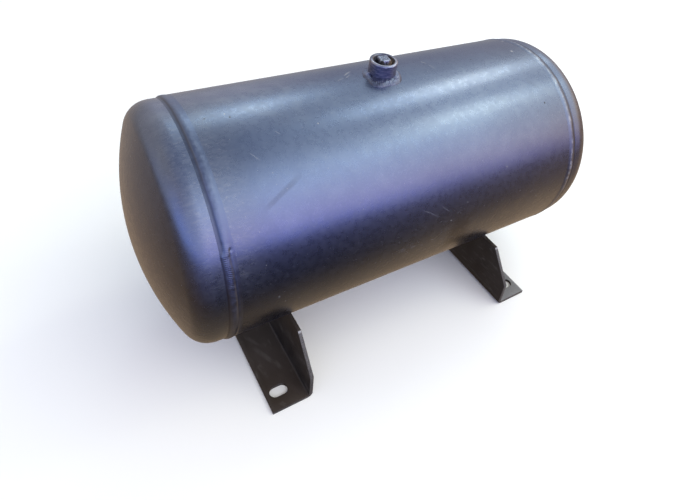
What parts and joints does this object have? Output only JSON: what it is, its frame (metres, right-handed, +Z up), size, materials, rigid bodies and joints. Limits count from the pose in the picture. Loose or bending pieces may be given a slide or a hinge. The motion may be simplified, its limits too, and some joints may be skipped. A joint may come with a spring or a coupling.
{
  "type": "horizontal pressure tank",
  "caption": "Horizontal welded steel air tank with dished heads, plugged threaded bosses and bent-plate brackets with slotted feet.",
  "frame": {"origin": "middle of the base, on the plane that the two feet stand on, under the tank's middle", "axes": "+X along the tank's axis, from the left head to the right head; +Z up"},
  "size_m": [0.6506, 0.345, 0.383],
  "materials": {
    "tank_coating": "satin dark blue-grey metallic coating with violet sheen, dust and fine scratches",
    "weld_coating": "rippled weld metal under the same dark coating",
    "boss_coating": "rough dark coating, worn bright at the rim",
    "plug_steel": "dull plated steel with worn corners",
    "bracket_coating": "matt brown-black paint, scuffed on the feet and cut edges"
  },
  "bodies": {
    "root": {"shell": "tank_coating", "shell_seam_weld": "weld_coating", "left_head": "tank_coating", "right_head": "tank_coating", "left_girth_weld": "weld_coating", "right_girth_weld": "weld_coating", "port_boss": "boss_coating", "port_boss_weld": "boss_coating", "port_plug": "plug_steel", "drain_boss": "boss_coating", "drain_boss_weld": "boss_coating", "drain_plug": "plug_steel", "left_bracket": "bracket_coating", "right_bracket": "bracket_coating", "left_bracket_inner_weld": "bracket_coating", "left_bracket_outer_weld": "bracket_coating", "right_bracket_inner_weld": "bracket_coating", "right_bracket_outer_weld": "bracket_coating"}
  },
  "joints": []
}
